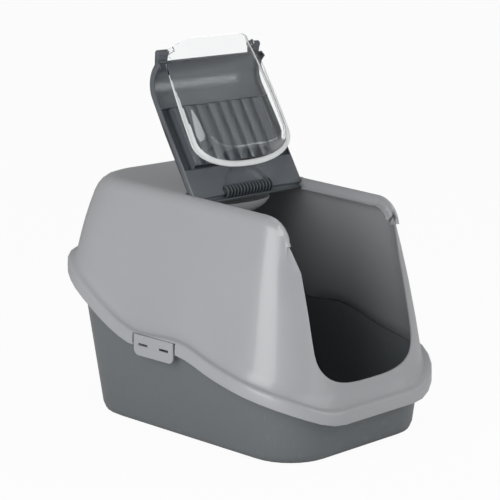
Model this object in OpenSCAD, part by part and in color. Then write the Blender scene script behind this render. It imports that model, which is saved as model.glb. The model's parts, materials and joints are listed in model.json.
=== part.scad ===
/* [Box] */
// Length over the rim
rim_length = 560; // [540:1:580]
// Width over the rim
rim_width = 390; // [376:1:404]
// Corner radius of the rim in plan, entry end
rim_corner = 118; // [110:1:124]
// Corner radius of the rim in plan, back end
rim_back_corner = 98; // [90:1:104]
// Height of the rim's lower edge at the entry
rim_front_z = 62; // [58:1:66]
// Height of the rim's lower edge beside the clips
rim_clip_z = 142.5; // [140:0.5:145]
// Height of the rim's lower edge at the back
rim_back_z = 236; // [230:1:242]
// Wall of the mouldings
wall = 2.5; // [2.2:0.1:3]

/* [Hood] */
// Height of the hood's top at the lid's rear edge
hood_top = 375; // [372:1:378]
// Half width of the hood where side wall and top would meet
hood_half = 131; // [130:1:133]
// Rearward place of the same edge
hood_back = 255; // [250:1:258]
// Forward place of the same edge
hood_front = 199.5; // [198:0.5:201]

/* [Lid] */
// Half width of the lid
lid_half = 118.5; // [118:0.5:119]
// Angle of the lid in its open rest pose, from closed
lid_open = 123; // [120:1:125]
// Depth of the lid's side walls
lid_depth = 10; // [8:1:12]
// Number of louvres on the filter cover
louvres = 8; // [6:1:9]
// Number of ribs on the grip
grip_ribs = 15; // [9:2:17]

/* [Flap] */
// Half width of the flap
flap_half = 107.5; // [106:0.5:108]
// Length of the flap below its pins
flap_drop = 200; // [196:1:202]
// Height of the flap's bulge
flap_bulge = 20; // [16:1:22]
// Angle of the folded flap to the level, lid closed
flap_rest = 4.9; // [4.5:0.1:6]

/* [Clips] */
// Width of a side clip
clip_width = 89; // [80:1:92]
// Height of a side clip
clip_height = 33; // [30:1:36]
// Middle of the clips, rearward of the box's middle
clip_y = 14; // [12:1:16]

/* [Hidden] */

tray_dark = "#5c6063";
hood_light = "#a3a4a8";
lid_dark = "#565b61";
clear_white = "#dfe6ea";
pad_black = "#26282a";

half_x = rim_width / 2;
half_y = rim_length / 2;
skirt = 22;
ledge = 15;

// Points of the rim's lower edge in side view, front to back: rearward place and height.
rim_knots = [[-half_y, rim_front_z], [-262, rim_front_z + 15], [-225, 94.5], [-112, 122],
    [-45, rim_clip_z - 0.5], [75, rim_clip_z + 0.5], [112, 156], [half_y, rim_back_z]];

function sgn(v) = v < 0 ? -1 : 1;
function mix(a, b, t) = a + (b - a) * t;
function clamp(v, a, b) = min(max(v, a), b);
function ease(t) = let (u = clamp(t, 0, 1)) u * u * (3 - 2 * u);
function chord(k, i) = (k[i + 1][1] - k[i][1]) / (k[i + 1][0] - k[i][0]);
function knot_slope(k, i) =
    i == 0 ? chord(k, 0) : i == len(k) - 1 ? 0 : (chord(k, i - 1) + chord(k, i)) / 2;
function span_of(k, y, i = 0) = i >= len(k) - 2 || y < k[i + 1][0] ? i : span_of(k, y, i + 1);
function spline(k, y) =
    let (i = span_of(k, y), w = k[i + 1][0] - k[i][0], t = (y - k[i][0]) / w)
    (2 * t ^ 3 - 3 * t ^ 2 + 1) * k[i][1] + (t ^ 3 - 2 * t ^ 2 + t) * w * knot_slope(k, i)
    + (3 * t ^ 2 - 2 * t ^ 3) * k[i + 1][1] + (t ^ 3 - t ^ 2) * w * knot_slope(k, i + 1);
function rim_z(y) = spline(rim_knots, clamp(y, -half_y, half_y));

// A rounded rectangle as points with the angle of each outward normal.
side_steps = 16;
end_steps = 6;
turn_steps = 8;
function turn(cx, cy, r, a0) =
    [for (i = [0:turn_steps - 1]) let (a = a0 + 90 * i / turn_steps)
        [cx + r * cos(a), cy + r * sin(a), a]];
function run(p, q, a, n) =
    [for (i = [0:n - 1]) let (t = i / n)
        [mix(p[0], q[0], t), mix(p[1], q[1], t), a]];
function outline(hx, yf, yb, rf, rb) = concat(
    run([hx, rf - yf], [hx, yb - rb], 0, side_steps), turn(hx - rb, yb - rb, rb, 0),
    run([hx - rb, yb], [rb - hx, yb], 90, end_steps), turn(rb - hx, yb - rb, rb, 90),
    run([-hx, yb - rb], [-hx, rf - yf], 180, side_steps), turn(rf - hx, rf - yf, rf, 180),
    run([rf - hx, -yf], [hx - rf, -yf], 270, end_steps), turn(hx - rf, rf - yf, rf, 270));
function rim_outline(inset) =
    outline(half_x - inset, half_y - inset, half_y - inset, rim_corner - inset, rim_back_corner - inset);
// A ring at an inset from the rim and a height above its lower edge.
function rim_ring(inset, up) =
    [for (p = rim_outline(inset)) [p[0], p[1], rim_z(p[1] * half_y / (half_y - inset)) + up]];

function flip(list) = [for (i = [len(list) - 1:-1:0]) list[i]];
function middle(ring) = [for (p = ring) 1] * ring / len(ring);
// A closed solid from rings of equal length, with both end rings capped.
module loft(rings) {
    n = len(rings[0]);
    m = len(rings);
    strips = [for (k = [0:m - 2], i = [0:n - 1])
        let (j = (i + 1) % n, l = k + 1)
        each [[k * n + i, l * n + i, l * n + j], [k * n + i, l * n + j, k * n + j]]];
    caps = [for (i = [0:n - 1])
        let (j = (i + 1) % n, last = (m - 1) * n)
        each [[i, j, m * n], [last + j, last + i, m * n + 1]]];
    polyhedron(points = concat([for (r = rings) each r], [middle(rings[0]), middle(rings[m - 1])]),
        faces = concat(strips, caps));
}

// The hood's top slopes gently down to the front.
top_slope = 0.045;
lid_rear_y = 20;
function top_z(y) = hood_top + top_slope * (y - 12);
// Hood rings: foot of the wall to the edge of the flat top, at an inset for the inner face.
peak_corner = 42;
peak_back_corner = 84;
function hood_pairs(inset) =
    let (foot = rim_outline(ledge + inset),
        peak = outline(hood_half - inset, hood_front - inset, hood_back - inset,
            peak_corner - inset, peak_back_corner - inset))
    [for (i = [0:len(foot) - 1])
        [[foot[i][0], foot[i][1], rim_z(foot[i][1] * half_y / (half_y - ledge)) + skirt + 2],
            [peak[i][0], peak[i][1], top_z(peak[i][1]) - inset], foot[i][2]]];
function edge_reach(a, inset) = mix(18, sin(a) > 0 ? 42 : 34, abs(sin(a)) ^ 1.5) - inset * 0.8;
function wall_point(f, k, a, reach, u) =
    let (v = k - f, w = f + v * (u * (1 - reach / norm(v))))
    w + [cos(a), sin(a), 0] * 4 * sin(180 * u * (1 - reach / norm(v)));
function curve_point(f, k, a, reach, t) =
    let (p = wall_point(f, k, a, reach, 1),
        q = [k[0] - reach * cos(a), k[1] - reach * sin(a), k[2] - top_slope * reach * sin(a)])
    (1 - t) ^ 2 * p + 2 * t * (1 - t) * k + t ^ 2 * q;
function hood_rings(inset) =
    let (pairs = hood_pairs(inset))
    concat(
        [for (u = [0.08, 0.3, 0.55, 0.78, 1])
            [for (p = pairs) wall_point(p[0], p[1], p[2], edge_reach(p[2], inset), u)]],
        [for (t = [0.2, 0.4, 0.6, 0.8, 1])
            [for (p = pairs) curve_point(p[0], p[1], p[2], edge_reach(p[2], inset), t)]]);
function hood_skin() = concat(
    [rim_ring(0.4, 0), rim_ring(0, 4), rim_ring(0.6, skirt - 6), rim_ring(2.4, skirt - 2.2),
        rim_ring(6, skirt), rim_ring(ledge - 2, skirt + 0.8)],
    hood_rings(0));
function hood_lining() = concat(
    [rim_ring(wall + 0.2, 0), rim_ring(wall + 0.8, skirt - 7), rim_ring(6.5, skirt - wall),
        rim_ring(ledge, skirt - wall + 0.5)],
    hood_rings(wall));

// Side view of the hood's top and shoulder, hinge end first: straight, arc, straight.
shoulder_r = 46;
front_lean = 13.6;
top_tilt = atan(top_slope);
shoulder_y = -163;
shoulder_turn = 90 - front_lean - top_tilt;
arc_steps = 12;
function on_top(y, d) = [y + d * sin(top_tilt), top_z(y) - d * cos(top_tilt)];
function shoulder_at(a, d) =
    let (c = [shoulder_y + shoulder_r * sin(top_tilt), top_z(shoulder_y) - shoulder_r * cos(top_tilt)],
        b = 90 + top_tilt + a)
    c + (shoulder_r - d) * [cos(b), sin(b)];
function down_front(len, d) =
    shoulder_at(shoulder_turn, d) + len * [-sin(front_lean), -cos(front_lean)];
// The side view at a depth d below the surface, from y0 down to a length along the front.
function side_curve(y0, drop, d) = concat([on_top(y0, d)],
    [for (i = [0:arc_steps]) shoulder_at(shoulder_turn * i / arc_steps, d)], [down_front(drop, d)]);
function band(y0, drop, d0, d1) =
    let (outer = side_curve(y0, drop, d0), inner = side_curve(y0, drop, d1))
    concat(outer, flip(inner));
// A band of the side view, made solid between two places across the box.
module across(x0, x1, points) {
    translate([x0, 0, 0])
        rotate([90, 0, 90])
            linear_extrude(x1 - x0)
                polygon(points);
}
module both_sides() {
    children();
    mirror([1, 0, 0])
        children();
}

// Entry opening: straight sides, then a U below, seen from the front.
entry_half = 110;
entry_low = 114.4;
entry_turn = 183;
entry_power = 3;
entry_steps = 28;
notch_z = 328;
module entry_cut() {
    low = [for (i = [0:entry_steps])
        let (c = cos(180 + 180 * i / entry_steps), s = sin(180 * i / entry_steps))
        [entry_half * sgn(c) * abs(c) ^ (2 / entry_power),
            entry_turn - (entry_turn - entry_low) * s ^ (2 / entry_power)]];
    rotate([90, 0, 0])
        linear_extrude(400)
            polygon(concat(low, [[entry_half, notch_z], [-entry_half, notch_z]]));
}

// Hinge of the lid.
hinge_y = 7;
hinge_z = 370;
pin_r = 2.1;
lid_play = 1.2;
rebate_depth = 15.5;
rebate_half = lid_half + lid_play;
hood_edge_y = 22.5;
notch_drop = 6;
seam = 0.7;
set_back = 0.2;
riser_top = 1.3;
ledge_end_y = -9;
boss_wall = 4;
boss_r = 6;
module hinge_axis() {
    translate([0, hinge_y, hinge_z])
        rotate([0, 90, 0])
            children();
}
module hinge_bore() {
    hinge_axis()
        translate([0, 0, rebate_half - 1])
            cylinder(h = boss_wall, r = pin_r + 0.05, $fn = 32);
}
module rebate() {
    both_sides()
        difference() {
            union() {
                across(rebate_half + set_back, rebate_half + wall,
                    band(hood_edge_y, notch_drop, riser_top, rebate_depth + 2));
                across(entry_half, rebate_half + seam,
                    band(ledge_end_y, notch_drop - seam, rebate_depth, rebate_depth + 2 - seam));
                translate([rebate_half + 2 * set_back, hinge_y - boss_r, hinge_z - boss_r])
                    cube([boss_wall, 2 * boss_r, boss_r + 3.6]);
            }
            hinge_bore();
        }
}
// The wall that hangs from the opening's rear edge.
module rear_drop() {
    translate([-rebate_half - seam, hood_edge_y - 0.3, top_z(hood_edge_y) - 23])
        cube([2 * (rebate_half + seam), wall, 22.1]);
}

// Finger bowl behind the hinge: a barrel form lying across the box.
bowl_half = 66;
bowl_r = 32;
bowl_y = 30;
bowl_z = 360;
bowl_front_z = 350;
function bowl_points(extra) =
    [for (i = [0:16]) let (t = -90 + i * 180 / 16)
        [(bowl_r + extra) * cos(t) ^ 0.8, (bowl_half + extra) * sin(t)]];
module bowl_form(extra) {
    translate([0, bowl_y, bowl_z])
        rotate([0, 90, 0])
            rotate_extrude($fn = 40)
                polygon(bowl_points(extra));
}
module below_top(d) {
    across(-200, 200, [[-300, top_z(-300) - d], [300, top_z(300) - d], [300, 100], [-300, 100]]);
}
module bowl_shell() {
    difference() {
        intersection() {
            bowl_form(wall);
            below_top(0.8);
        }
        bowl_form(0);
        translate([-100, -100, bowl_front_z])
            cube([200, 100 + hood_edge_y, 60]);
    }
}

// Place of the clips' gap in the skirt, wider than the clip by a slit on each side.
clip_slit = 4;
clip_top = rim_clip_z + skirt - 4;
clip_play = 0.5;
module clip_gap() {
    translate([half_x - 7, clip_y - clip_width / 2 - clip_slit, rim_clip_z - 12])
        cube([20, clip_width + 2 * clip_slit, clip_top + clip_play + 12 - rim_clip_z]);
}

module hood() {
    skin = hood_skin();
    lining = hood_lining();
    color(hood_light) {
        difference() {
            loft(concat(flip(lining), skin));
            across(-rebate_half, rebate_half, band(hood_edge_y, notch_drop, -20, 40));
            entry_cut();
            bowl_form(wall / 2);
            both_sides() {
                clip_gap();
                hinge_bore();
            }
        }
        rebate();
        difference() {
            rear_drop();
            bowl_form(wall / 2);
        }
        bowl_shell();
    }
}

// Tray: a tapered pan whose lip lies under the hood's ledge.
tray_half = 163;
tray_front = 249;
tray_back = 233;
tray_corner = 82;
tray_back_corner = 96;
tray_draft = 0.13;
tray_back_draft = 0.15;
tray_inset = 12;
lip_up = skirt - wall - 1.4;
tray_base = 14;
// The wall ends this far below the rim's lower edge.
wall_end = 3;
function base_ring(inset, z) =
    [for (p = outline(tray_half - inset, tray_front - inset, tray_back - inset,
        tray_corner - inset, tray_back_corner - inset)) [p[0], p[1], z]];
// Height of the wall at a place y of the base, or of a point that has leaned out from it.
function wall_rise(y) = rim_z(y * half_y / (half_y - tray_inset)) - tray_base - wall_end;
// A wall ring part way up, where every side leans out at its own draft.
function wall_ring(inset, t) =
    let (low = base_ring(inset, tray_base), plan = rim_outline(tray_inset))
    [for (i = [0:len(low) - 1])
        let (x = low[i][0], y = low[i][1], a = plan[i][2],
            draft = mix(tray_draft, y > 0 ? tray_back_draft : tray_draft, abs(sin(a))),
            rise = wall_rise(y + wall_rise(y) * draft * sin(a)), lean = t * rise * draft)
        [x + lean * cos(a), y + lean * sin(a), tray_base + t * rise]];
module tray() {
    color(tray_dark)
        loft(flip(concat(
            [base_ring(12 + wall, wall), base_ring(4 + wall, wall + 4), base_ring(wall, tray_base)],
            [for (t = [0.35, 0.7, 1]) wall_ring(wall, t)],
            [rim_ring(tray_inset + wall, lip_up - 3), rim_ring(tray_inset, lip_up),
                rim_ring(7.6, lip_up), rim_ring(4.6, lip_up - 4.2), rim_ring(4, lip_up - 5),
                rim_ring(6, lip_up - 6), rim_ring(tray_inset, lip_up - 6)],
            [for (t = [1, 0.7, 0.35]) wall_ring(0, t)],
            [base_ring(0, tray_base), base_ring(4, 4), base_ring(12, 0)])));
}

// The flap's pins, with the lid closed.
pivot_y = -219;
pivot_z = 324;
flap_pin_r = 3;

// Lid, drawn closed and then swung open about its hinge.
lid_front_drop = 5.2;
lid_taper = 5;
lug_r = 7;
lug_out = 110;
lug_in = 91;
module opened() {
    translate([0, hinge_y, hinge_z])
        rotate([-lid_open, 0, 0])
            translate([0, -hinge_y, -hinge_z])
                children();
}
// A frame lying in the lid's flat top, with its third axis square to it.
module on_lid() {
    translate([0, 0, top_z(0)])
        rotate([top_tilt, 0, 0])
            children();
}
seat_front = -36;
seat_depth = 10;
grip_half = 54;
grip_front = -4;
grip_back = 17;
module lug() {
    translate([lug_in, pivot_y, pivot_z])
        rotate([0, 90, 0])
            cylinder(h = lug_out - lug_in, r = lug_r, $fn = 48);
    across(lug_in, lug_out, [[pivot_y + 20, pivot_z + 21], [pivot_y - 5, pivot_z + 5],
        [pivot_y + 4, pivot_z - 5.5], [pivot_y + 12.5, pivot_z + 6]]);
}
// The lid's plan, narrower at its free edge.
module lid_plan(inset) {
    front = lid_half - lid_taper - inset;
    linear_extrude(500)
        polygon([[-lid_half + inset, 40], [-lid_half + inset, shoulder_y + 60], [-front, -250],
            [front, -250], [lid_half - inset, shoulder_y + 60], [lid_half - inset, 40]]);
}
module lid_shell() {
    intersection() {
        across(-lid_half, lid_half, band(lid_rear_y, lid_front_drop, 0, wall));
        lid_plan(0);
    }
    intersection() {
        across(-lid_half, lid_half, band(12, lid_front_drop, wall / 2, lid_depth));
        difference() {
            lid_plan(0);
            lid_plan(wall);
        }
    }
    both_sides()
        lug();
    on_lid()
        translate([-lid_half, lid_rear_y - wall, -5])
            cube([2 * lid_half, wall - 0.3, 4]);
}
// Boxed seat at the hinge end with the fingertip hollow and the ribbed grip.
module hinge_seat() {
    on_lid() {
        difference() {
            translate([-lid_half + 2, seat_front, -seat_depth])
                cube([2 * lid_half - 4, 12 - seat_front, seat_depth - 1]);
            intersection() {
                translate([-grip_half, seat_front, -seat_depth - 1])
                    cube([2 * grip_half, 60, seat_depth - 1.5]);
                translate([0, 22, -seat_depth - 1])
                    scale([1.22, 1.22, 1])
                        cylinder(h = seat_depth - 1.5, r = 46, $fn = 96);
            }
        }
        translate([-grip_half - 1, (grip_front + grip_back) / 2, -6])
            rotate([0, 90, 0])
                cylinder(h = 2 * grip_half + 2, r = 5, $fn = 32);
        for (i = [0:grip_ribs - 1])
            translate([mix(5 - grip_half, grip_half - 5, i / (grip_ribs - 1)) - 1.1,
                (grip_front + grip_back) / 2, -6])
                rotate([0, 90, 0])
                    cylinder(h = 2.2, r = 7, $fn = 32);
    }
}
module front_lid() {
    color(lid_dark)
        opened()
            difference() {
                union() {
                    lid_shell();
                    hinge_seat();
                    both_sides()
                        hinge_axis()
                            translate([0, 0, lid_half - 3])
                                cylinder(h = boss_wall + 2.9, r = pin_r, $fn = 32);
                }
                both_sides()
                    translate([lug_in - 1, pivot_y, pivot_z])
                        rotate([0, 90, 0])
                            cylinder(h = 8, r = flap_pin_r + 0.05, $fn = 48);
            }
}

// Filter cover: a shallow box with overlapping louvres, and the pad behind it.
cover_half = 98;
cover_front = -140;
cover_back = -37;
cover_depth = 19;
louvre_half = 90;
louvre_pitch = 2 * louvre_half / louvres;
louvre_gap = 2.4;
module cover_box(inset, top, depth) {
    on_lid()
        translate([0, 0, -depth])
            linear_extrude(depth - top)
                translate([inset - cover_half, cover_front + inset])
                    square([2 * (cover_half - inset), cover_back - cover_front - 2 * inset]);
}
module filter_cover() {
    color(lid_dark)
        opened() {
            difference() {
                cover_box(0, wall + 0.3, cover_depth - 3);
                cover_box(wall, 0, cover_depth - 5);
                on_lid()
                    for (i = [0:louvres - 1])
                        translate([i * louvre_pitch - louvre_half, cover_front + 6, -cover_depth - 1])
                            cube([louvre_gap, cover_back - cover_front - 20, 10]);
            }
            on_lid()
                for (i = [0:louvres - 1])
                    translate([i * louvre_pitch - louvre_half + louvre_gap, cover_back - 8, 0])
                        rotate([90, 0, 0])
                            linear_extrude(cover_back - cover_front - 10)
                                polygon([[0, 4 - cover_depth], [0, -cover_depth], [2, -cover_depth],
                                    [louvre_pitch - louvre_gap, 2 - cover_depth],
                                    [louvre_pitch - louvre_gap, 4 - cover_depth]]);
        }
}
pad_thick = 8;
module filter_pad() {
    color(pad_black)
        opened()
            cover_box(wall + 1.5, wall + 2, wall + 2 + pad_thick);
}

// Swing flap: a bulged sheet with a U below and an arched visor above its pins.
flap_thick = 2.2;
u_straight = 151;
u_power = 2.2;
flap_corner = -19;
flap_columns = 28;
flap_rows = 20;
function flap_low(x) =
    -u_straight - (flap_drop - u_straight) * max(0, 1 - (abs(x) / flap_half) ^ u_power) ^ (1 / u_power);
function flap_high(x) =
    mix(flap_corner, 13 * ease((lug_in + 20 - abs(x)) / 60), ease((lug_in - 1 - abs(x)) / 4));
function flap_edge_gap(x, u) =
    let (v = max(0, -u - u_straight) / (flap_drop - u_straight), h = abs(x) / flap_half,
        s = (h ^ u_power + v ^ u_power) ^ (1 / u_power))
    (1 - s) * (v > 0 ? mix(flap_half, flap_drop - u_straight, v) : flap_half);
function flap_rise(x, u) = flap_bulge * ease((flap_edge_gap(x, u) - 4) / 26);
function flap_x(i) = flap_half * 0.999 * sin(90 * (2 * i / flap_columns - 1));
function flap_point(i, j, side) =
    let (x = flap_x(i), u = mix(flap_low(x), flap_high(x), j / flap_rows))
    [x, flap_rise(x, u) + side * flap_thick, u];
module flap_sheet() {
    n = flap_columns + 1;
    m = flap_rows + 1;
    count = n * m;
    points = [for (side = [0, 1], j = [0:m - 1], i = [0:n - 1]) flap_point(i, j, side)];
    sheet = [for (j = [0:m - 2], i = [0:n - 2])
        let (a = j * n + i)
        each [[a, a + n + 1, a + 1], [a, a + n, a + n + 1]]];
    back = [for (f = sheet) [f[2] + count, f[1] + count, f[0] + count]];
    rim = concat([for (i = [0:n - 2]) i], [for (j = [0:m - 2]) j * n + n - 1],
        [for (i = [0:n - 2]) m * n - 1 - i], [for (j = [0:m - 2]) (m - 1 - j) * n]);
    k = len(rim);
    edge = [for (q = [0:k - 1]) let (a = rim[q], b = rim[(q + 1) % k])
        each [[b, a + count, a], [b, b + count, a + count]]];
    polyhedron(points = points, faces = concat(sheet, back, edge));
}
module swing_flap() {
    color(clear_white, 0.35)
        opened()
            translate([0, pivot_y, pivot_z])
                rotate([90 + flap_rest, 0, 0])
                    mirror([0, 1, 0]) {
                        flap_sheet();
                        both_sides() {
                            translate([lug_in - 6, -1, -4])
                                cube([4, 16, 8]);
                            translate([lug_in - 5, 0, 0])
                                rotate([0, 90, 0])
                                    cylinder(h = 11, r = flap_pin_r, $fn = 48);
                        }
                    }
}

// Side clip: a plate hung from the ledge with a catch below the tray's lip.
clip_thick = 2.8;
clip_round = 10;
slot_length = 21;
slot_height = 4;
module clip_face() {
    difference() {
        hull() {
            translate([-clip_width / 2, clip_height - 6])
                square([clip_width, 6]);
            for (s = [-1, 1])
                translate([s * (clip_width / 2 - clip_round), clip_round])
                    circle(clip_round, $fn = 32);
        }
        for (s = [-1, 1])
            translate([s * 23.5 - slot_length / 2, clip_height - 17])
                square([slot_length, slot_height]);
    }
}
module side_clip() {
    color(hood_light) {
        translate([half_x + 0.2 - clip_thick, clip_y, clip_top - clip_height])
            rotate([90, 0, 90])
                linear_extrude(clip_thick)
                    clip_face();
        translate([half_x - 3.6, clip_y - 12, clip_top - 9])
            cube([2, 24, 3]);
    }
}
module side_clip_right() {
    side_clip();
}
module side_clip_left() {
    mirror([1, 0, 0])
        side_clip();
}

tray();
hood();
front_lid();
swing_flap();
filter_cover();
filter_pad();
side_clip_right();
side_clip_left();
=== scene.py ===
"""Hooded cat litter box: looks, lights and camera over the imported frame."""
import json
import math

import bpy
from mathutils import Matrix, Vector


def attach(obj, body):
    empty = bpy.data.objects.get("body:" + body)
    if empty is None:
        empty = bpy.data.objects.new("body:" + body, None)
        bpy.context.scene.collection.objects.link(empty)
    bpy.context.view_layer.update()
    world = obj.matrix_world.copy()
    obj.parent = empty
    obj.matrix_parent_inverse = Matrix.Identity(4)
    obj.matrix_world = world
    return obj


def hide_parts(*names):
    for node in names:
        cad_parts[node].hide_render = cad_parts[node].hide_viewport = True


bl_info = {
    "name": "Hooded Litter Box",
    "version": (1, 0, 0),
    "blender": (4, 5, 0),
    "location": "View3D > Sidebar > Litter Box",
    "description": "Dresses a hooded litter box with its plastics, stage, lights and camera",
    "category": "Object",
}

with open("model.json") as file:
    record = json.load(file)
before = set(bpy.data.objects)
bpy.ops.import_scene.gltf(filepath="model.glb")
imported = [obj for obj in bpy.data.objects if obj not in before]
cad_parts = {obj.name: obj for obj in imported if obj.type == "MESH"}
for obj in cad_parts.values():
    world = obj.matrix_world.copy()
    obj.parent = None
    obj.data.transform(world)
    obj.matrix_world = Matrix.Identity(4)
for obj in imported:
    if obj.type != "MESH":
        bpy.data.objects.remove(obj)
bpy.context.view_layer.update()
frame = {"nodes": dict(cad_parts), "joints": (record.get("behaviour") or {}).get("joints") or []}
NODES = frame["nodes"]


# Lengths below are in millimetres, and this makes them metres.
MM = 0.001

# The closed lid's flat top: its height at the middle, its slope, and how far the lid rests open.
LID_TOP = 374.46
LID_TILT = math.atan(0.045)
LID_OPEN = math.radians(123.0)

# Inner pieces of the lid, drawn on its flat top: x across, y rearward, z down into the box is negative.
COVER_HALF = 98.0
COVER_FRONT = -140.0
COVER_BACK = -37.0
COVER_LOW = -14.0
COVER_TOP = -3.0
LOUVRES = 8
SLAT_LOW = -18.8
SLAT_BASE = -9.5
SLAT_FALL = 6.0
GRIP_HALF = 54.0
GRIP_Y = 6.5
GRIP_Z = -6.0
GRIP_FINS = 15
GRIP_MARGIN = 5.0
FIN_RADIUS = 10.2
FIN_WIDTH = 1.5
STEP_HALF = 117.0
STEP_LOW = -12.0
LUG_INNER = 88.0
LUG_RADIUS = 5.4

# The flap, drawn hanging from its pins: x across, z up, and its bulge towards -y.
FLAP_HALF = 107.5
FLAP_DROP = 200.0
FLAP_STRAIGHT = 151.0
FLAP_POWER = 2.2
FLAP_BULGE = 20.0
FLAP_WALL = 2.2
FLAP_RINGS = (0.0, 2.0, 4.0, 6.0, 8.0, 10.0, 12.5, 15.0, 17.5, 20.0, 22.5, 25.0, 28.0, 31.0, 36.0)
FLAP_TURN = math.radians(90.0 + 4.9 - 123.0)
VISOR_TOP = 13.0
VISOR_HALF = 91.0
VISOR_FLAT = 52.0
VISOR_FALL = (0.235, 0.972)
EAR_TOP = -19.0
PIN_RADIUS = 3.0

# The slope at each upper corner of the entry, from its lower to its upper end.
SLOPE_LOW = (109.9, 286.0)
SLOPE_HIGH = (119.8, 328.1)


def point(joint):
    """Where a joint of the frame turns, as a vector in metres."""
    return Vector(next(j["pos_m"] for j in frame["joints"] if j["name"] == joint))


def lid_place():
    """From the closed lid's flat top, level and at the origin, to its open rest place."""
    hinge = point("lid_hinge")
    top = Matrix.Translation((0.0, 0.0, LID_TOP * MM)) @ Matrix.Rotation(LID_TILT, 4, "X")
    swing = Matrix.Rotation(-LID_OPEN, 4, "X")
    return Matrix.Translation(hinge) @ swing @ Matrix.Translation(-hinge) @ top


class PlasticSettings(bpy.types.PropertyGroup):
    hood_color: bpy.props.FloatVectorProperty(
        name="Hood", description="Colour of the hood and the side clips",
        subtype="COLOR", size=3, min=0.0, max=1.0, default=(0.352, 0.357, 0.373))
    tray_color: bpy.props.FloatVectorProperty(
        name="Tray", description="Colour of the tray",
        subtype="COLOR", size=3, min=0.0, max=1.0, default=(0.128, 0.141, 0.149))
    lid_color: bpy.props.FloatVectorProperty(
        name="Lid", description="Colour of the lid and the filter cover",
        subtype="COLOR", size=3, min=0.0, max=1.0, default=(0.092, 0.103, 0.115))
    pad_color: bpy.props.FloatVectorProperty(
        name="Filter pad", description="Colour of the carbon foam",
        subtype="COLOR", size=3, min=0.0, max=1.0, default=(0.020, 0.021, 0.023))
    # The flap rim's colour is partly the rim's own paler plastic and partly a painted highlight: pale and
    # milky where the clear rim shows bright highlights.
    rim_color: bpy.props.FloatVectorProperty(
        name="Flap rim", description="Colour of the flap's flat rim",
        subtype="COLOR", size=3, min=0.0, max=1.0, default=(0.96, 0.98, 0.99))
    grain_size: bpy.props.FloatProperty(
        name="Grain size", description="Size of the moulded grain",
        subtype="DISTANCE", unit="LENGTH", min=0.0002, max=0.005, default=0.0009)
    grain_depth: bpy.props.FloatProperty(
        name="Grain depth", description="Depth of the moulded grain",
        subtype="DISTANCE", unit="LENGTH", min=0.0, max=0.0005, default=0.00003)
    smooth_angle: bpy.props.FloatProperty(
        name="Smooth angle", description="Faces that meet at less than this are shaded as one",
        subtype="ANGLE", unit="ROTATION", min=0.0, max=math.pi, default=math.radians(28))


class StageSettings(bpy.types.PropertyGroup):
    turn: bpy.props.FloatProperty(
        name="Turn", description="Camera's turn from the entry end",
        subtype="ANGLE", unit="ROTATION", default=math.radians(-44.96))
    rise: bpy.props.FloatProperty(
        name="Rise", description="Camera's angle above level",
        subtype="ANGLE", unit="ROTATION", default=math.radians(12.13))
    distance: bpy.props.FloatProperty(
        name="Distance", description="Camera's distance from its aim",
        subtype="DISTANCE", unit="LENGTH", min=0.5, max=10.0, default=2.94)
    aim: bpy.props.FloatVectorProperty(
        name="Aim", description="Point in the middle of the view",
        subtype="TRANSLATION", unit="LENGTH", size=3, default=(0.00088, 0.0, 0.27154))
    lens: bpy.props.FloatProperty(
        name="Lens", description="Focal length on a 36 mm sensor, in millimetres",
        min=20.0, max=300.0, default=133.4)
    sky: bpy.props.FloatProperty(
        name="Sky", description="Strength of the light from all round",
        min=0.0, max=2.0, default=0.36)
    side_power: bpy.props.FloatProperty(
        name="Side lamp", description="Power of the lamp on the long side",
        unit="POWER", min=0.0, max=400.0, default=40.0)
    front_power: bpy.props.FloatProperty(
        name="Front lamp", description="Power of the lamp before the entry",
        unit="POWER", min=0.0, max=400.0, default=13.0)
    seat_power: bpy.props.FloatProperty(
        name="Seat lamp", description="Power of the small lamp that fills the open lid's hinge end",
        unit="POWER", min=0.0, max=400.0, default=2.5)


def new_group(name, inputs, outputs):
    """An empty shader group with its sockets, and its input and output nodes."""
    group = bpy.data.node_groups.new(name, "ShaderNodeTree")
    for label, kind, value in inputs:
        group.interface.new_socket(name=label, in_out="INPUT", socket_type=kind).default_value = value
    for label, kind in outputs:
        group.interface.new_socket(name=label, in_out="OUTPUT", socket_type=kind)
    return group, group.nodes.new("NodeGroupInput"), group.nodes.new("NodeGroupOutput")


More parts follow.
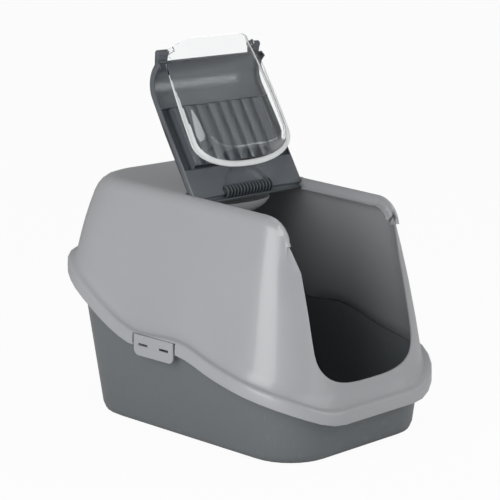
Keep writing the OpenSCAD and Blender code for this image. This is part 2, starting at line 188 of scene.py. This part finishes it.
def moulded_surface():
    """Fine moulded grain, slow drift of tone and a little unevenness of gloss."""
    name = "moulded surface"
    if name in bpy.data.node_groups:
        return bpy.data.node_groups[name]
    group, take, give = new_group(
        name,
        [("Color", "NodeSocketColor", (0.5, 0.5, 0.5, 1.0)),
         ("Grain Scale", "NodeSocketFloat", 1000.0),
         ("Gloss", "NodeSocketFloat", 0.35),
         ("Scuff", "NodeSocketFloat", 0.1)],
        [("Color", "NodeSocketColor"), ("Roughness", "NodeSocketFloat"), ("Height", "NodeSocketFloat")])
    nodes, links = group.nodes, group.links
    place = nodes.new("ShaderNodeTexCoord")

    grain = nodes.new("ShaderNodeTexNoise")
    grain.inputs["Detail"].default_value = 3.0
    links.new(place.outputs["Object"], grain.inputs["Vector"])
    links.new(take.outputs["Grain Scale"], grain.inputs["Scale"])

    drift = nodes.new("ShaderNodeTexNoise")
    drift.inputs["Scale"].default_value = 7.0
    drift.inputs["Detail"].default_value = 2.0
    links.new(place.outputs["Object"], drift.inputs["Vector"])
    tone = nodes.new("ShaderNodeMapRange")
    tone.inputs["To Min"].default_value = 0.965
    tone.inputs["To Max"].default_value = 1.035
    links.new(drift.outputs["Fac"], tone.inputs["Value"])

    stretch = nodes.new("ShaderNodeMapping")
    stretch.inputs["Scale"].default_value = (40.0, 260.0, 90.0)
    stretch.inputs["Rotation"].default_value = (0.3, 0.2, 0.5)
    links.new(place.outputs["Object"], stretch.inputs["Vector"])
    marks = nodes.new("ShaderNodeTexNoise")
    marks.inputs["Scale"].default_value = 1.0
    marks.inputs["Detail"].default_value = 5.0
    links.new(stretch.outputs["Vector"], marks.inputs["Vector"])
    scratch = nodes.new("ShaderNodeMapRange")
    scratch.inputs["From Min"].default_value = 0.60
    scratch.inputs["From Max"].default_value = 0.74
    links.new(marks.outputs["Fac"], scratch.inputs["Value"])
    worn = nodes.new("ShaderNodeMath")
    worn.operation = "MULTIPLY"
    links.new(scratch.outputs["Result"], worn.inputs[0])
    links.new(take.outputs["Scuff"], worn.inputs[1])

    shade = nodes.new("ShaderNodeMix")
    shade.data_type = "RGBA"
    shade.blend_type = "MULTIPLY"
    shade.inputs["Factor"].default_value = 1.0
    links.new(take.outputs["Color"], shade.inputs["A"])
    links.new(tone.outputs["Result"], shade.inputs["B"])
    pale = nodes.new("ShaderNodeMix")
    pale.data_type = "RGBA"
    pale.inputs["B"].default_value = (0.55, 0.56, 0.57, 1.0)
    links.new(worn.outputs["Value"], pale.inputs["Factor"])
    links.new(shade.outputs["Result"], pale.inputs["A"])
    links.new(pale.outputs["Result"], give.inputs["Color"])

    rough = nodes.new("ShaderNodeMath")
    rough.operation = "MULTIPLY_ADD"
    rough.inputs[1].default_value = 0.12
    links.new(drift.outputs["Fac"], rough.inputs[0])
    links.new(take.outputs["Gloss"], rough.inputs[2])
    links.new(rough.outputs["Value"], give.inputs["Roughness"])
    links.new(grain.outputs["Fac"], give.inputs["Height"])
    return group


def foam_cells():
    """Open cells of a carbon foam sheet."""
    name = "foam cells"
    if name in bpy.data.node_groups:
        return bpy.data.node_groups[name]
    group, take, give = new_group(
        name,
        [("Color", "NodeSocketColor", (0.1, 0.1, 0.1, 1.0)), ("Cell Scale", "NodeSocketFloat", 700.0)],
        [("Color", "NodeSocketColor"), ("Height", "NodeSocketFloat")])
    nodes, links = group.nodes, group.links
    place = nodes.new("ShaderNodeTexCoord")
    cells = nodes.new("ShaderNodeTexVoronoi")
    links.new(place.outputs["Object"], cells.inputs["Vector"])
    links.new(take.outputs["Cell Scale"], cells.inputs["Scale"])
    tone = nodes.new("ShaderNodeMapRange")
    tone.inputs["To Min"].default_value = 0.5
    tone.inputs["To Max"].default_value = 1.6
    links.new(cells.outputs["Distance"], tone.inputs["Value"])
    shade = nodes.new("ShaderNodeMix")
    shade.data_type = "RGBA"
    shade.blend_type = "MULTIPLY"
    shade.inputs["Factor"].default_value = 1.0
    links.new(take.outputs["Color"], shade.inputs["A"])
    links.new(tone.outputs["Result"], shade.inputs["B"])
    links.new(shade.outputs["Result"], give.inputs["Color"])
    links.new(cells.outputs["Distance"], give.inputs["Height"])
    return group


def fresh(name):
    """A new material and its shader."""
    material = bpy.data.materials.new(name)
    material.use_nodes = True
    return material, material.node_tree.nodes["Principled BSDF"]


def satin_plastic(name, color, gloss, scuff, coat=0.0):
    """Moulded plastic with grain, a base roughness, scuff marks and a thin coat."""
    settings = bpy.context.scene.litter_plastic
    material, shader = fresh(name)
    tree = material.node_tree
    group = tree.nodes.new("ShaderNodeGroup")
    group.node_tree = moulded_surface()
    group.inputs["Color"].default_value = (*color, 1.0)
    group.inputs["Grain Scale"].default_value = 1.0 / settings.grain_size
    group.inputs["Gloss"].default_value = gloss
    group.inputs["Scuff"].default_value = scuff
    bump = tree.nodes.new("ShaderNodeBump")
    bump.inputs["Strength"].default_value = 0.6
    bump.inputs["Distance"].default_value = settings.grain_depth
    tree.links.new(group.outputs["Color"], shader.inputs["Base Color"])
    tree.links.new(group.outputs["Roughness"], shader.inputs["Roughness"])
    tree.links.new(group.outputs["Height"], bump.inputs["Height"])
    tree.links.new(bump.outputs["Normal"], shader.inputs["Normal"])
    shader.inputs["Coat Weight"].default_value = coat
    shader.inputs["Coat Roughness"].default_value = 0.12
    return material


def clear_plastic(name, color, rough, through):
    """Clear plastic, or a milky one where less light goes through."""
    material, shader = fresh(name)
    shader.inputs["Base Color"].default_value = (*color, 1.0)
    shader.inputs["Roughness"].default_value = rough
    shader.inputs["IOR"].default_value = 1.46
    shader.inputs["Transmission Weight"].default_value = through
    return material


def foam(name, color):
    """Dull open foam."""
    material, shader = fresh(name)
    tree = material.node_tree
    group = tree.nodes.new("ShaderNodeGroup")
    group.node_tree = foam_cells()
    group.inputs["Color"].default_value = (*color, 1.0)
    bump = tree.nodes.new("ShaderNodeBump")
    bump.inputs["Strength"].default_value = 0.8
    bump.inputs["Distance"].default_value = 0.0008
    tree.links.new(group.outputs["Color"], shader.inputs["Base Color"])
    tree.links.new(group.outputs["Height"], bump.inputs["Height"])
    tree.links.new(bump.outputs["Normal"], shader.inputs["Normal"])
    shader.inputs["Roughness"].default_value = 0.95
    return material


def only(obj):
    """Makes one object the selected and active one."""
    bpy.ops.object.select_all(action="DESELECT")
    obj.hide_set(False)
    obj.select_set(True)
    bpy.context.view_layer.objects.active = obj


def smooth_shell(node, body, materials):
    """A merged copy of a CAD node with soft shading over its gentle curves."""
    piece = bpy.data.objects.new(node + "_shell", NODES[node].data.copy())
    bpy.context.scene.collection.objects.link(piece)
    only(piece)
    bpy.ops.object.mode_set(mode="EDIT")
    bpy.ops.mesh.select_all(action="SELECT")
    bpy.ops.mesh.remove_doubles(threshold=0.00002)
    bpy.ops.mesh.dissolve_degenerate(threshold=0.00001)
    bpy.ops.object.mode_set(mode="OBJECT")
    bpy.ops.object.shade_smooth_by_angle(angle=bpy.context.scene.litter_plastic.smooth_angle)
    piece.data.materials.clear()
    for material in materials:
        piece.data.materials.append(material)
    for face in piece.data.polygons:
        face.material_index = 0
    weigh = piece.modifiers.new("Weighted Normal", "WEIGHTED_NORMAL")
    weigh.keep_sharp = True
    bpy.ops.object.modifier_apply(modifier=weigh.name)
    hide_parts(node)
    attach(piece, body)
    return piece


def block(name, low, high):
    """A box between two corners in millimetres, as a start for a piece."""
    middle = [(a + b) / 2 * MM for a, b in zip(low, high)]
    size = [(b - a) * MM for a, b in zip(low, high)]
    bpy.ops.object.select_all(action="DESELECT")
    bpy.ops.mesh.primitive_cube_add(size=1.0, location=middle, scale=size)
    piece = bpy.context.active_object
    piece.name = name
    bpy.ops.object.transform_apply(location=True, rotation=True, scale=True)
    return piece


def pick(piece, test, kind="FACE"):
    """Selects in edit mode the faces, edges or points whose middle passes a test, in millimetres."""
    bpy.ops.object.mode_set(mode="EDIT")
    bpy.ops.mesh.select_mode(type=kind)
    bpy.ops.mesh.select_all(action="DESELECT")
    bpy.ops.object.mode_set(mode="OBJECT")
    mesh = piece.data
    if kind == "FACE":
        for face in mesh.polygons:
            face.select = test(face.center / MM)
    elif kind == "EDGE":
        for edge in mesh.edges:
            a, b = (mesh.vertices[i].co for i in edge.vertices)
            edge.select = test((a + b) / 2 / MM)
    else:
        for vertex in mesh.vertices:
            vertex.select = test(vertex.co / MM)
    bpy.ops.object.mode_set(mode="EDIT")


def copies(piece, steps):
    """Copies of a piece, each with its own mesh, moved by each step, joined to the first."""
    made = [piece]
    for step in steps:
        twin = bpy.data.objects.new(piece.name, piece.data.copy())
        bpy.context.scene.collection.objects.link(twin)
        twin.data.transform(Matrix.Translation(Vector(step) * MM))
        made.append(twin)
    only(piece)
    for twin in made:
        twin.select_set(True)
    bpy.ops.object.join()
    return piece


def round_edges(piece, width, segments=2, angle=35.0):
    """Rounds a piece's sharp edges and shades it smooth between them."""
    bevel = piece.modifiers.new("Bevel", "BEVEL")
    bevel.width = width * MM
    bevel.segments = segments
    bevel.limit_method = "ANGLE"
    bevel.angle_limit = math.radians(angle)
    only(piece)
    bpy.ops.object.modifier_apply(modifier=bevel.name)
    bpy.ops.object.shade_smooth_by_angle(angle=math.radians(32))


def settle(piece, place, body, material):
    """Puts a finished piece where it belongs, with its place in its mesh, and lets it ride."""
    piece.matrix_world = place
    only(piece)
    bpy.ops.object.transform_apply(location=True, rotation=True, scale=True)
    piece.data.materials.clear()
    piece.data.materials.append(material)
    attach(piece, body)


class LITTER_OT_hood(bpy.types.Operator):
    """Dress the hood"""
    bl_idname = "litter.hood"
    bl_label = "Hood"

    def execute(self, context):
        color = context.scene.litter_plastic.hood_color
        plastic = satin_plastic("hood plastic", color, 0.30, 0.0, 0.35)
        shell = smooth_shell("hood", "hood", [plastic])
        self.taper_entry(shell)
        return {"FINISHED"}

    def taper_entry(self, shell):
        """Cuts the step at each upper corner of the entry to a slope."""
        for side in (-1.0, 1.0):
            low = Vector((side * SLOPE_LOW[0], 0.0, SLOPE_LOW[1]))
            high = Vector((side * SLOPE_HIGH[0], 0.0, SLOPE_HIGH[1]))
            along = (high - low).normalized()
            inward = Vector((-side * along.z, 0.0, side * along.x))
            pick(shell, lambda c: 106.0 < c.x * side < 122.0 and 284.0 < c.z < 330.0 and c.y < -190.0)
            bpy.ops.mesh.bisect(plane_co=low * MM, plane_no=inward, clear_outer=True, use_fill=False)
            bpy.ops.mesh.select_mode(type="EDGE")
            bpy.ops.mesh.select_all(action="DESELECT")
            bpy.ops.mesh.select_non_manifold(extend=False, use_wire=False, use_multi_face=False,
                                             use_non_contiguous=False, use_verts=False)
            bpy.ops.mesh.fill_holes(sides=0)
            bpy.ops.object.mode_set(mode="OBJECT")


class LITTER_OT_tray(bpy.types.Operator):
    """Dress the tray"""
    bl_idname = "litter.tray"
    bl_label = "Tray"

    def execute(self, context):
        color = context.scene.litter_plastic.tray_color
        plastic = satin_plastic("tray plastic", color, 0.34, 0.05, 0.1)
        smooth_shell("tray", "tray", [plastic])
        return {"FINISHED"}


class LITTER_OT_lid(bpy.types.Operator):
    """Dress the lid and its filter cover"""
    bl_idname = "litter.lid"
    bl_label = "Lid"

    def execute(self, context):
        color = context.scene.litter_plastic.lid_color
        plastic = satin_plastic("lid plastic", color, 0.28, 0.03, 0.15)
        # Painted shade: a darker copy of the lid plastic, laid on the bar between the grip's fins where the
        # gaps lie in deep shade.
        shade = satin_plastic("grip painted shade", [0.35 * part for part in color], 0.5, 0.0)
        shell = smooth_shell("front_lid", "lid", [plastic, shade])
        self.paint_grip_shade(shell)
        self.slim_lugs(shell)
        place = lid_place()
        cover = self.louvred_cover()
        settle(cover, place, "lid", plastic)
        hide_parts("filter_cover")
        settle(self.grip_fins(), place, "lid", plastic)
        settle(self.inner_step(), place, "lid", plastic)
        return {"FINISHED"}

    def slim_lugs(self, shell):
        """Draws the outside of each hinge lug in towards the flap's pin."""
        pivot = point("flap_swing") / MM
        for vertex in shell.data.vertices:
            spot = vertex.co / MM
            reach = math.hypot(spot.y - pivot.y, spot.z - pivot.z)
            if 4.0 < reach < 8.5 and abs(spot.x) > LUG_INNER:
                part = LUG_RADIUS / reach if reach > LUG_RADIUS else 1.0
                vertex.co.y = (pivot.y + (spot.y - pivot.y) * part) * MM
                vertex.co.z = (pivot.z + (spot.z - pivot.z) * part) * MM

    def paint_grip_shade(self, shell):
        """Paints shade on the bar between the grip's fins: its faces get a darker copy of the lid plastic,
        which stands for the deep shade in the gaps between the fins.
        """
        inward = lid_place().inverted()
        for face in shell.data.polygons:
            spot = inward @ face.center / MM
            reach = math.hypot(spot.y - GRIP_Y, spot.z - GRIP_Z)
            if abs(spot.x) < GRIP_HALF + 0.5 and 4.0 < reach < 7.2 and spot.z < GRIP_Z + 2:
                face.material_index = 1

    def louvred_cover(self):
        """A shallow frame that holds overlapping slats, each with a rounded free end."""
        half, front, back = COVER_HALF, COVER_FRONT, COVER_BACK
        cover = block("louvred_cover", (-half, front, COVER_LOW), (half, back, COVER_TOP))
        pick(cover, lambda c: c.z < COVER_LOW + 0.1)
        bpy.ops.mesh.inset(thickness=2.5 * MM)
        bpy.ops.transform.translate(value=(0.0, 0.0, SLAT_FALL * MM))
        bpy.ops.object.mode_set(mode="OBJECT")
        round_edges(cover, 0.6)
        pitch = 2 * (half - 1.0) / LOUVRES
        left = -half + 1.0
        slat = block("slat", (left, front + 1.5, SLAT_LOW), (left + pitch, back - 3.0, SLAT_BASE))
        pick(slat, lambda c: c.x > left + pitch / 2 and c.z < SLAT_LOW + 0.8, "VERT")
        bpy.ops.transform.translate(value=(0.0, 0.0, SLAT_FALL * MM))
        middle = left + pitch / 2
        pick(slat, lambda c: c.y < front + 2 and c.z < -12.0 and abs(c.x - middle) < pitch / 3, "EDGE")
        bpy.ops.mesh.bevel(offset=2.4 * MM, segments=4, affect="EDGES")
        bpy.ops.object.mode_set(mode="OBJECT")
        round_edges(slat, 0.5)
        copies(slat, [(i * pitch, 0.0, 0.0) for i in range(1, LOUVRES)])
        only(cover)
        slat.select_set(True)
        bpy.ops.object.join()
        return cover

    def grip_fins(self):
        """Round fins along the finger bar."""
        bpy.ops.object.select_all(action="DESELECT")
        first = GRIP_MARGIN - GRIP_HALF
        bpy.ops.mesh.primitive_cylinder_add(
            vertices=40, radius=FIN_RADIUS * MM, depth=FIN_WIDTH * MM, end_fill_type="NGON",
            location=(first * MM, GRIP_Y * MM, GRIP_Z * MM), rotation=(0.0, math.pi / 2, 0.0))
        fins = bpy.context.active_object
        fins.name = "grip_fins"
        bpy.ops.object.transform_apply(location=True, rotation=True, scale=True)
        pick(fins, lambda c: abs(c.x - first) > 0.7)
        bpy.ops.mesh.inset(thickness=2.4 * MM, use_individual=True)
        bpy.ops.mesh.inset(thickness=0.3 * MM, depth=-0.25 * MM, use_individual=True)
        bpy.ops.object.mode_set(mode="OBJECT")
        round_edges(fins, 0.4)
        step = 2 * (GRIP_HALF - GRIP_MARGIN) / (GRIP_FINS - 1)
        return copies(fins, [(i * step, 0.0, 0.0) for i in range(1, GRIP_FINS)])

    def inner_step(self):
        """The low wall across the lid where its curved end meets the filter."""
        step = block("inner_step", (-STEP_HALF, COVER_FRONT - 3.0, STEP_LOW),
                     (STEP_HALF, COVER_FRONT - 1.2, -2.0))
        pick(step, lambda c: c.z < STEP_LOW + 0.1 and abs(c.x) > STEP_HALF - 1.0, "EDGE")
        bpy.ops.mesh.bevel(offset=1.5 * MM, segments=3, affect="EDGES")
        bpy.ops.object.mode_set(mode="OBJECT")
        round_edges(step, 0.4)
        return step


class LITTER_OT_flap(bpy.types.Operator):
    """Model the clear flap: a bulged sheet with a paler, milky rim that also paints the rim's highlights,
    hung on its two pins
    """
    bl_idname = "litter.flap"
    bl_label = "Swing flap"

    def execute(self, context):
        settings = context.scene.litter_plastic
        clear = clear_plastic("flap clear", (0.97, 0.985, 0.99), 0.03, 1.0)
        # Paler rim: partly its own milky plastic, partly a painted highlight for the bright highlights along
        # the clear rim.
        rim = clear_plastic("flap rim and painted highlight", settings.rim_color, 0.14, 0.35)
        sheet = self.sheet()
        pins = self.pins()
        only(sheet)
        pins.select_set(True)
        bpy.ops.object.join()
        marks = [int(self.on_rim(face.center / MM)) for face in sheet.data.polygons]
        place = Matrix.Translation(point("flap_swing")) @ Matrix.Rotation(FLAP_TURN, 4, "X")
        settle(sheet, place, "flap", clear)
        sheet.data.materials.append(rim)
        sheet.data.polygons.foreach_set("material_index", marks)
        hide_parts("swing_flap")
        return {"FINISHED"}

    def on_rim(self, spot):
        """Whether a place belongs to the paler rim, which widens towards the U. The pale band is partly the
        rim's own milky plastic and partly a painted highlight.
        """
        width = 3.5 + 6.0 * min(1.0, max(0.0, -spot.z / 160.0))
        return self.gap(spot.x, spot.z) < width and spot.z < 2.0

    def gap(self, x, z):
        """Distance in from the flap's sides and its U, in millimetres."""
        low = FLAP_DROP - FLAP_STRAIGHT
        v = max(0.0, -z - FLAP_STRAIGHT) / low
        s = (abs(x / FLAP_HALF) ** FLAP_POWER + v ** FLAP_POWER) ** (1 / FLAP_POWER)
        return (1 - s) * (FLAP_HALF + (low - FLAP_HALF) * v if v > 0 else FLAP_HALF)

    def sheet(self):
        """A disc inset into rings; each ring is laid inside the outline, at the bulge's height there."""
        bpy.ops.object.select_all(action="DESELECT")
        bpy.ops.mesh.primitive_circle_add(vertices=240, radius=1.0, fill_type="NGON",
                                          location=(0.0, 0.0, 0.0), rotation=(math.pi / 2, 0.0, 0.0))
        sheet = bpy.context.active_object
        sheet.name = "clear_flap"
        bpy.ops.object.transform_apply(location=True, rotation=True, scale=True)
        pick(sheet, lambda c: True)
        gap = 0.05
        for _ in FLAP_RINGS[1:]:
            bpy.ops.mesh.inset(thickness=gap, depth=0.0)
        bpy.ops.object.mode_set(mode="OBJECT")
        low = FLAP_DROP - FLAP_STRAIGHT
        for vertex in sheet.data.vertices:
            x, z = vertex.co.x, vertex.co.z
            inset = FLAP_RINGS[round((1.0 - math.hypot(x, z)) / gap)]
            t = min(1.0, max(0.0, (inset - 4.0) / 26.0))
            angle = math.atan2(z, x)
            across = abs(math.cos(angle)) ** (2 / FLAP_POWER)
            along = abs(math.sin(angle)) ** (2 / FLAP_POWER)
            span = FLAP_HALF + (low - FLAP_HALF) * along if z < 0 else FLAP_HALF
            part = 1.0 - inset / span
            vertex.co.x = math.copysign(across * part * FLAP_HALF * MM, x)
            vertex.co.y = -FLAP_BULGE * t * t * (3 - 2 * t) * MM
            vertex.co.z = (-FLAP_STRAIGHT + along * part * (-low if z < 0 else 330.0)) * MM
        bpy.ops.object.mode_set(mode="EDIT")
        bpy.ops.mesh.select_all(action="SELECT")
        bpy.ops.mesh.bisect(plane_co=(0.0, 0.0, VISOR_TOP * MM), plane_no=(0.0, 0.0, 1.0), clear_outer=True)
        for side in (-1.0, 1.0):
            pick(sheet, lambda c: c.x * side > -1.0)
            bpy.ops.mesh.bisect(plane_co=(side * VISOR_FLAT * MM, 0.0, VISOR_TOP * MM),
                                plane_no=(side * VISOR_FALL[0], 0.0, VISOR_FALL[1]), clear_outer=True)
            pick(sheet, lambda c: c.x * side > 60.0)
            bpy.ops.mesh.bisect(plane_co=(side * VISOR_HALF * MM, 0.0, 0.0), plane_no=(side, 0.0, 0.0))
            pick(sheet, lambda c: c.x * side > VISOR_HALF)
            bpy.ops.mesh.bisect(plane_co=(0.0, 0.0, EAR_TOP * MM), plane_no=(0.0, 0.0, 1.0), clear_outer=True)
        bpy.ops.object.mode_set(mode="OBJECT")
        wall = sheet.modifiers.new("Solidify", "SOLIDIFY")
        wall.thickness = FLAP_WALL * MM
        wall.offset = 1.0
        wall.use_even_offset = True
        only(sheet)
        bpy.ops.object.modifier_apply(modifier=wall.name)
        bpy.ops.object.shade_smooth_by_angle(angle=math.radians(32))
        return sheet

    def pins(self):
        """The pin and its tab at each upper corner."""
        bpy.ops.object.select_all(action="DESELECT")
        bpy.ops.mesh.primitive_cylinder_add(
            vertices=32, radius=PIN_RADIUS * MM, depth=11.0 * MM, end_fill_type="NGON",
            location=(91.5 * MM, 0.0, 0.0), rotation=(0.0, math.pi / 2, 0.0))
        pin = bpy.context.active_object
        bpy.ops.object.transform_apply(location=True, rotation=True, scale=True)
        round_edges(pin, 0.4)
        tab = block("tab", (85.2, -14.0, -4.0), (88.6, 1.0, 4.0))
        round_edges(tab, 0.8)
        only(pin)
        tab.select_set(True)
        bpy.ops.object.join()
        twin = pin.copy()
        twin.data = pin.data.copy()
        bpy.context.scene.collection.objects.link(twin)
        twin.data.transform(Matrix.Scale(-1.0, 4, (1.0, 0.0, 0.0)))
        twin.data.flip_normals()
        only(pin)
        twin.select_set(True)
        bpy.ops.object.join()
        return pin


class LITTER_OT_clips(bpy.types.Operator):
    """Dress the side clips"""
    bl_idname = "litter.clips"
    bl_label = "Side clips"

    def execute(self, context):
        plastic = satin_plastic("clip plastic", context.scene.litter_plastic.hood_color, 0.30, 0.0, 0.15)
        smooth_shell("side_clip_right", "clip_right", [plastic])
        smooth_shell("side_clip_left", "clip_left", [plastic])
        return {"FINISHED"}


class LITTER_OT_pad(bpy.types.Operator):
    """Model the carbon foam pad behind the filter cover"""
    bl_idname = "litter.pad"
    bl_label = "Filter pad"

    def execute(self, context):
        piece = bpy.data.objects.new("filter_foam", NODES["filter_pad"].data.copy())
        context.scene.collection.objects.link(piece)
        only(piece)
        bpy.ops.object.mode_set(mode="EDIT")
        bpy.ops.mesh.select_all(action="SELECT")
        bpy.ops.mesh.remove_doubles(threshold=0.00002)
        bpy.ops.mesh.tris_convert_to_quads()
        bpy.ops.mesh.select_all(action="SELECT")
        bpy.ops.mesh.bevel(offset=0.0015, segments=3, affect="EDGES")
        bpy.ops.mesh.select_all(action="SELECT")
        bpy.ops.mesh.subdivide(number_cuts=3)
        bpy.ops.object.mode_set(mode="OBJECT")
        bpy.ops.object.shade_smooth_by_angle(angle=math.radians(40))
        piece.data.materials.clear()
        piece.data.materials.append(foam("pad foam", context.scene.litter_plastic.pad_color))
        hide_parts("filter_pad")
        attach(piece, "lid")
        return {"FINISHED"}


class LITTER_OT_stage(bpy.types.Operator):
    """Lay the floor, hang the lamps and set the camera"""
    bl_idname = "litter.stage"
    bl_label = "Stage"

    def execute(self, context):
        settings = context.scene.litter_stage
        bpy.ops.object.select_all(action="DESELECT")
        bpy.ops.mesh.primitive_plane_add(size=40.0, location=(0.0, 0.0, 0.0))
        floor = context.active_object
        floor.name = "floor"
        floor.data.materials.append(self.floor_paint())
        self.sky(context, settings.sky)
        self.lamp("side lamp", (-2.3, -0.5, 0.9), (0.0, 0.0, 0.2), 1.8, settings.side_power)
        self.lamp("front lamp", (0.7, -2.4, 1.1), (0.0, 0.0, 0.2), 1.8, settings.front_power)
        fill = self.lamp("seat lamp", (0.85, -0.75, 0.62), (0.10, 0.04, 0.38), 0.4, settings.seat_power)
        fill.visible_glossy = False
        self.camera(context, settings)
        context.scene.view_settings.view_transform = "Standard"
        return {"FINISHED"}

    def floor_paint(self):
        """White to the camera, with the object's shadow still showing."""
        material, shader = fresh("floor white")
        tree = material.node_tree
        shader.inputs["Base Color"].default_value = (0.82, 0.82, 0.82, 1.0)
        shader.inputs["Roughness"].default_value = 0.9
        shader.inputs["Specular IOR Level"].default_value = 0.0
        white = tree.nodes.new("ShaderNodeEmission")
        ray = tree.nodes.new("ShaderNodeLightPath")
        seen = tree.nodes.new("ShaderNodeMath")
        seen.operation = "MAXIMUM"
        tree.links.new(ray.outputs["Is Camera Ray"], seen.inputs[0])
        tree.links.new(ray.outputs["Is Transmission Ray"], seen.inputs[1])
        share = tree.nodes.new("ShaderNodeMath")
        share.operation = "MULTIPLY"
        share.inputs[1].default_value = 0.95
        tree.links.new(seen.outputs["Value"], share.inputs[0])
        mix = tree.nodes.new("ShaderNodeMixShader")
        tree.links.new(share.outputs["Value"], mix.inputs["Fac"])
        tree.links.new(shader.outputs["BSDF"], mix.inputs[1])
        tree.links.new(white.outputs["Emission"], mix.inputs[2])
        tree.links.new(mix.outputs["Shader"], tree.nodes["Material Output"].inputs["Surface"])
        return material

    def sky(self, context, strength):
        world = bpy.data.worlds.new("soft studio")
        context.scene.world = world
        world.use_nodes = True
        tree = world.node_tree
        soft = tree.nodes["Background"]
        soft.inputs["Color"].default_value = (1.0, 1.0, 1.0, 1.0)
        soft.inputs["Strength"].default_value = strength
        white = tree.nodes.new("ShaderNodeBackground")
        ray = tree.nodes.new("ShaderNodeLightPath")
        seen = tree.nodes.new("ShaderNodeMath")
        seen.operation = "MAXIMUM"
        tree.links.new(ray.outputs["Is Camera Ray"], seen.inputs[0])
        tree.links.new(ray.outputs["Is Transmission Ray"], seen.inputs[1])
        mix = tree.nodes.new("ShaderNodeMixShader")
        tree.links.new(seen.outputs["Value"], mix.inputs["Fac"])
        tree.links.new(soft.outputs["Background"], mix.inputs[1])
        tree.links.new(white.outputs["Background"], mix.inputs[2])
        tree.links.new(mix.outputs["Shader"], tree.nodes["World Output"].inputs["Surface"])

    def lamp(self, name, place, aim, size, power):
        data = bpy.data.lights.new(name, "AREA")
        data.shape = "SQUARE"
        data.size = size
        data.energy = power
        lamp = bpy.data.objects.new(name, data)
        lamp.location = place
        lamp.rotation_euler = (Vector(aim) - Vector(place)).to_track_quat("-Z", "Y").to_euler()
        bpy.context.scene.collection.objects.link(lamp)
        return lamp

    def camera(self, context, settings):
        data = bpy.data.cameras.new("camera")
        data.sensor_width = 36.0
        data.lens = settings.lens
        camera = bpy.data.objects.new("camera", data)
        back = Vector((math.sin(settings.turn) * math.cos(settings.rise),
                       -math.cos(settings.turn) * math.cos(settings.rise), math.sin(settings.rise)))
        camera.location = Vector(settings.aim) + settings.distance * back
        camera.rotation_euler = (-back).to_track_quat("-Z", "Y").to_euler()
        context.scene.collection.objects.link(camera)
        context.scene.camera = camera


class LITTER_PT_panel(bpy.types.Panel):
    """Lists the pieces and their settings"""
    bl_idname = "LITTER_PT_panel"
    bl_label = "Litter Box"
    bl_space_type = "VIEW_3D"
    bl_region_type = "UI"
    bl_category = "Litter Box"

    def draw(self, context):
        for part in PIECES:
            self.layout.operator(part.bl_idname)
        for settings in (context.scene.litter_plastic, context.scene.litter_stage):
            box = self.layout.box()
            for name in settings.__annotations__:
                box.prop(settings, name)


PIECES = (LITTER_OT_tray, LITTER_OT_hood, LITTER_OT_clips, LITTER_OT_lid, LITTER_OT_pad, LITTER_OT_flap,
          LITTER_OT_stage)
CLASSES = (PlasticSettings, StageSettings) + PIECES + (LITTER_PT_panel,)


def register():
    for cls in CLASSES:
        bpy.utils.register_class(cls)
    bpy.types.Scene.litter_plastic = bpy.props.PointerProperty(type=PlasticSettings)
    bpy.types.Scene.litter_stage = bpy.props.PointerProperty(type=StageSettings)


def unregister():
    del bpy.types.Scene.litter_stage
    del bpy.types.Scene.litter_plastic
    for cls in reversed(CLASSES):
        bpy.utils.unregister_class(cls)


def main():
    """Makes every piece in order."""
    register()
    bpy.ops.litter.tray()
    bpy.ops.litter.hood()
    bpy.ops.litter.clips()
    bpy.ops.litter.lid()
    bpy.ops.litter.pad()
    bpy.ops.litter.flap()
    bpy.ops.litter.stage()


if __name__ == "__main__":
    main()
